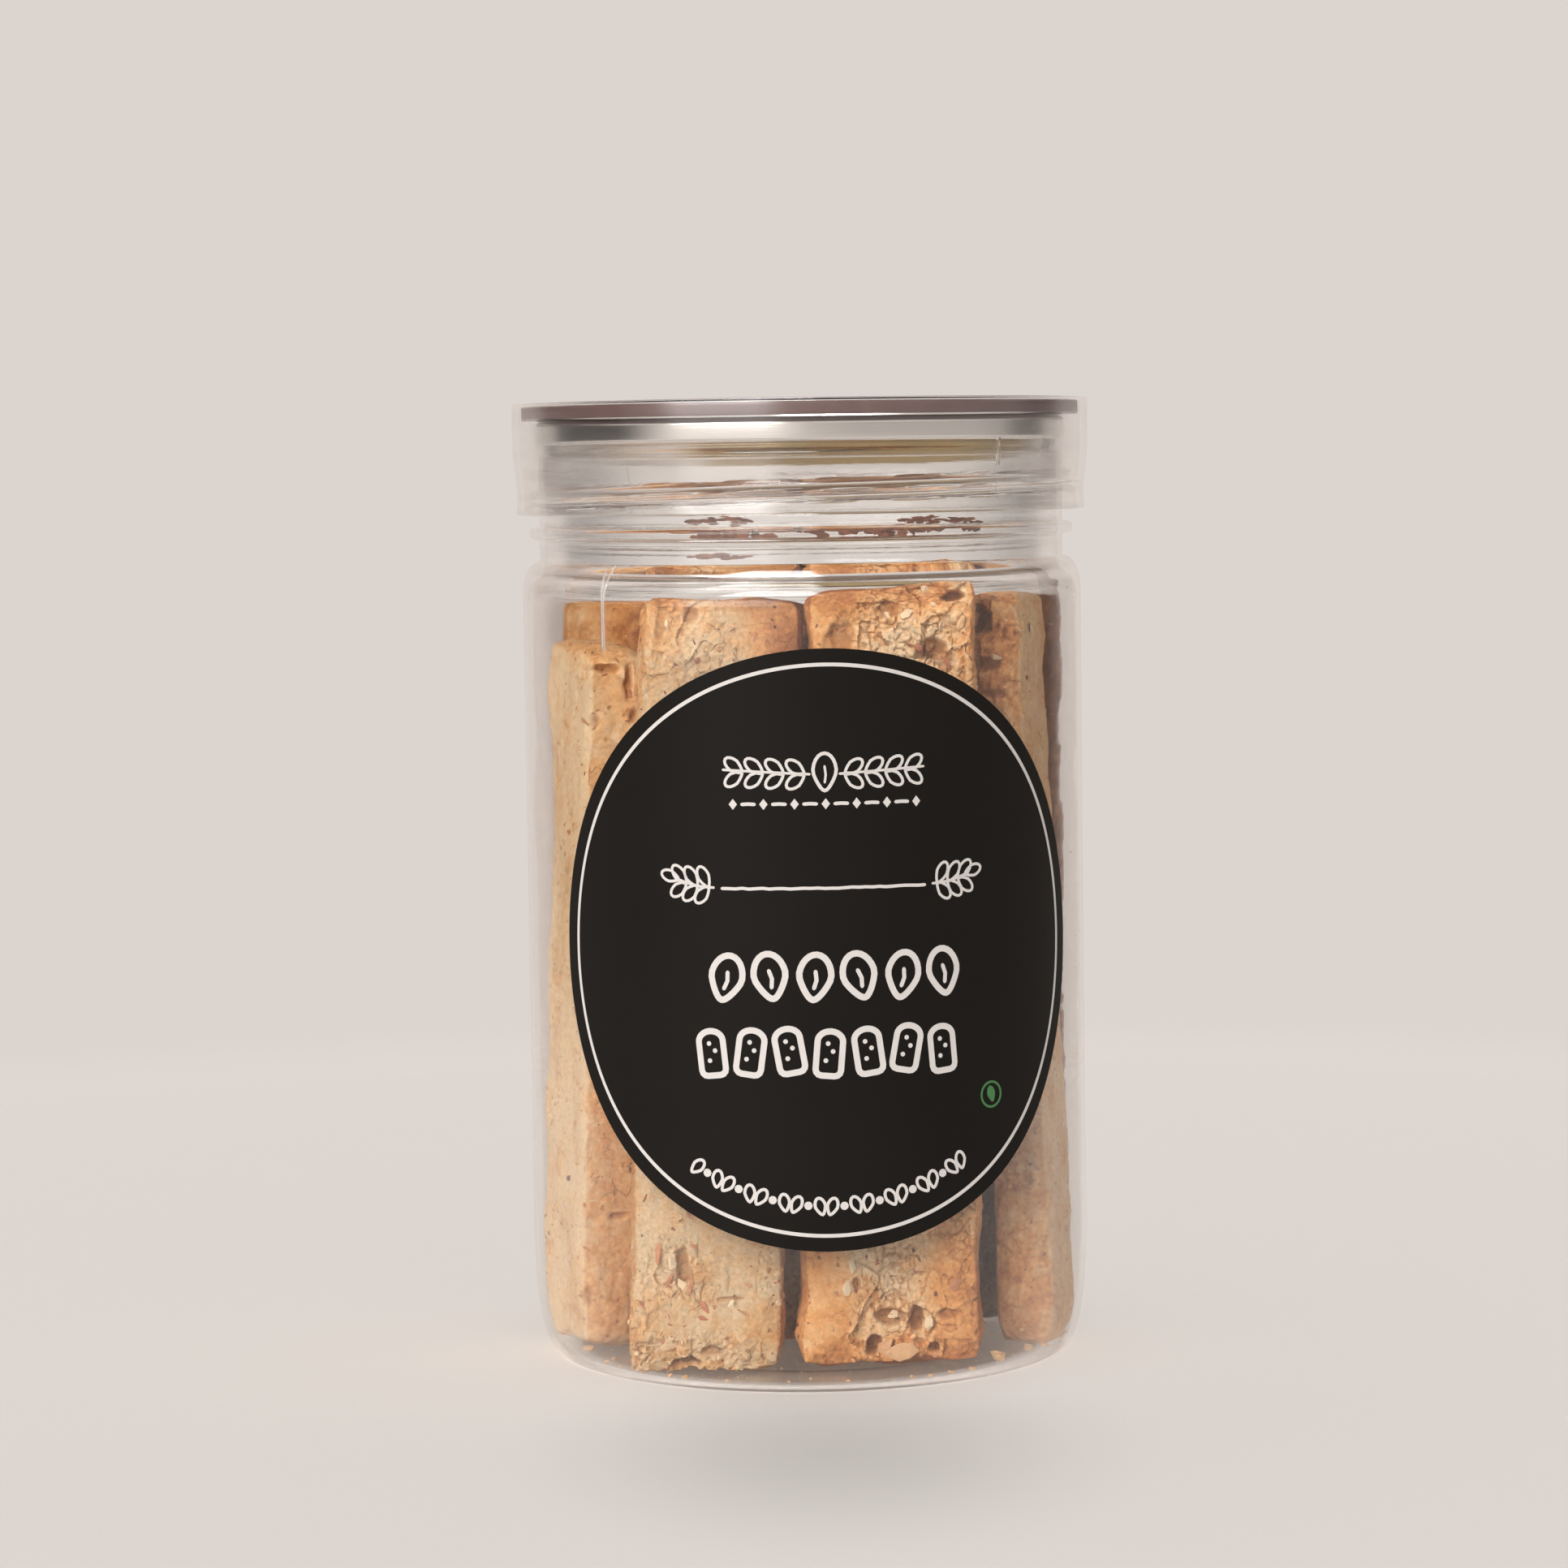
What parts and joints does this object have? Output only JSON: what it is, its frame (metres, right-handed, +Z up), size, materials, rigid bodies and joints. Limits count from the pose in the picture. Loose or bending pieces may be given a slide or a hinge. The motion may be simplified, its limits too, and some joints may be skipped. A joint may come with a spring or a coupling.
{
  "type": "jar of biscotti",
  "caption": "Shut clear plastic jar with a screw lid over a seamed metal end and a round dark label, filled with upright sticks of baked almond biscotti.",
  "frame": {"origin": "middle of the jar's foot ring, on the ground", "axes": "+Z up along the jar's axis, its longest extent; -Y towards the front, which the label faces; +X to the right of the front"},
  "size_m": [0.0878, 0.0878, 0.1451],
  "materials": {
    "clear_plastic": "clear, glossy PET",
    "bright_metal": "satin bright sheet metal",
    "ring_plastic": "brownish glossy sealing ring under the lid's top",
    "label_paper": "black satin printed label with white print",
    "label_print": "white print on the label",
    "label_mark": "small green print on the label",
    "baked_dough": "matte baked crumb with golden crust",
    "almond": "matte nut pieces with brown skin"
  },
  "bodies": {
    "root": {"jar": "clear_plastic", "metal_end": "bright_metal", "sealing_ring": "ring_plastic", "lid": "clear_plastic", "label": "label_paper", "biscotto_front_left": "baked_dough", "biscotto_front_right": "baked_dough", "biscotto_left": "baked_dough", "biscotto_right": "baked_dough", "biscotto_back_left": "baked_dough", "biscotto_back_right": "baked_dough", "biscotto_rear_left": "baked_dough", "biscotto_rear_right": "baked_dough", "biscotto_inner_right": "baked_dough", "biscotto_inner_left": "baked_dough", "biscotto_middle_right": "baked_dough", "biscotto_middle_left": "baked_dough"}
  },
  "joints": []
}
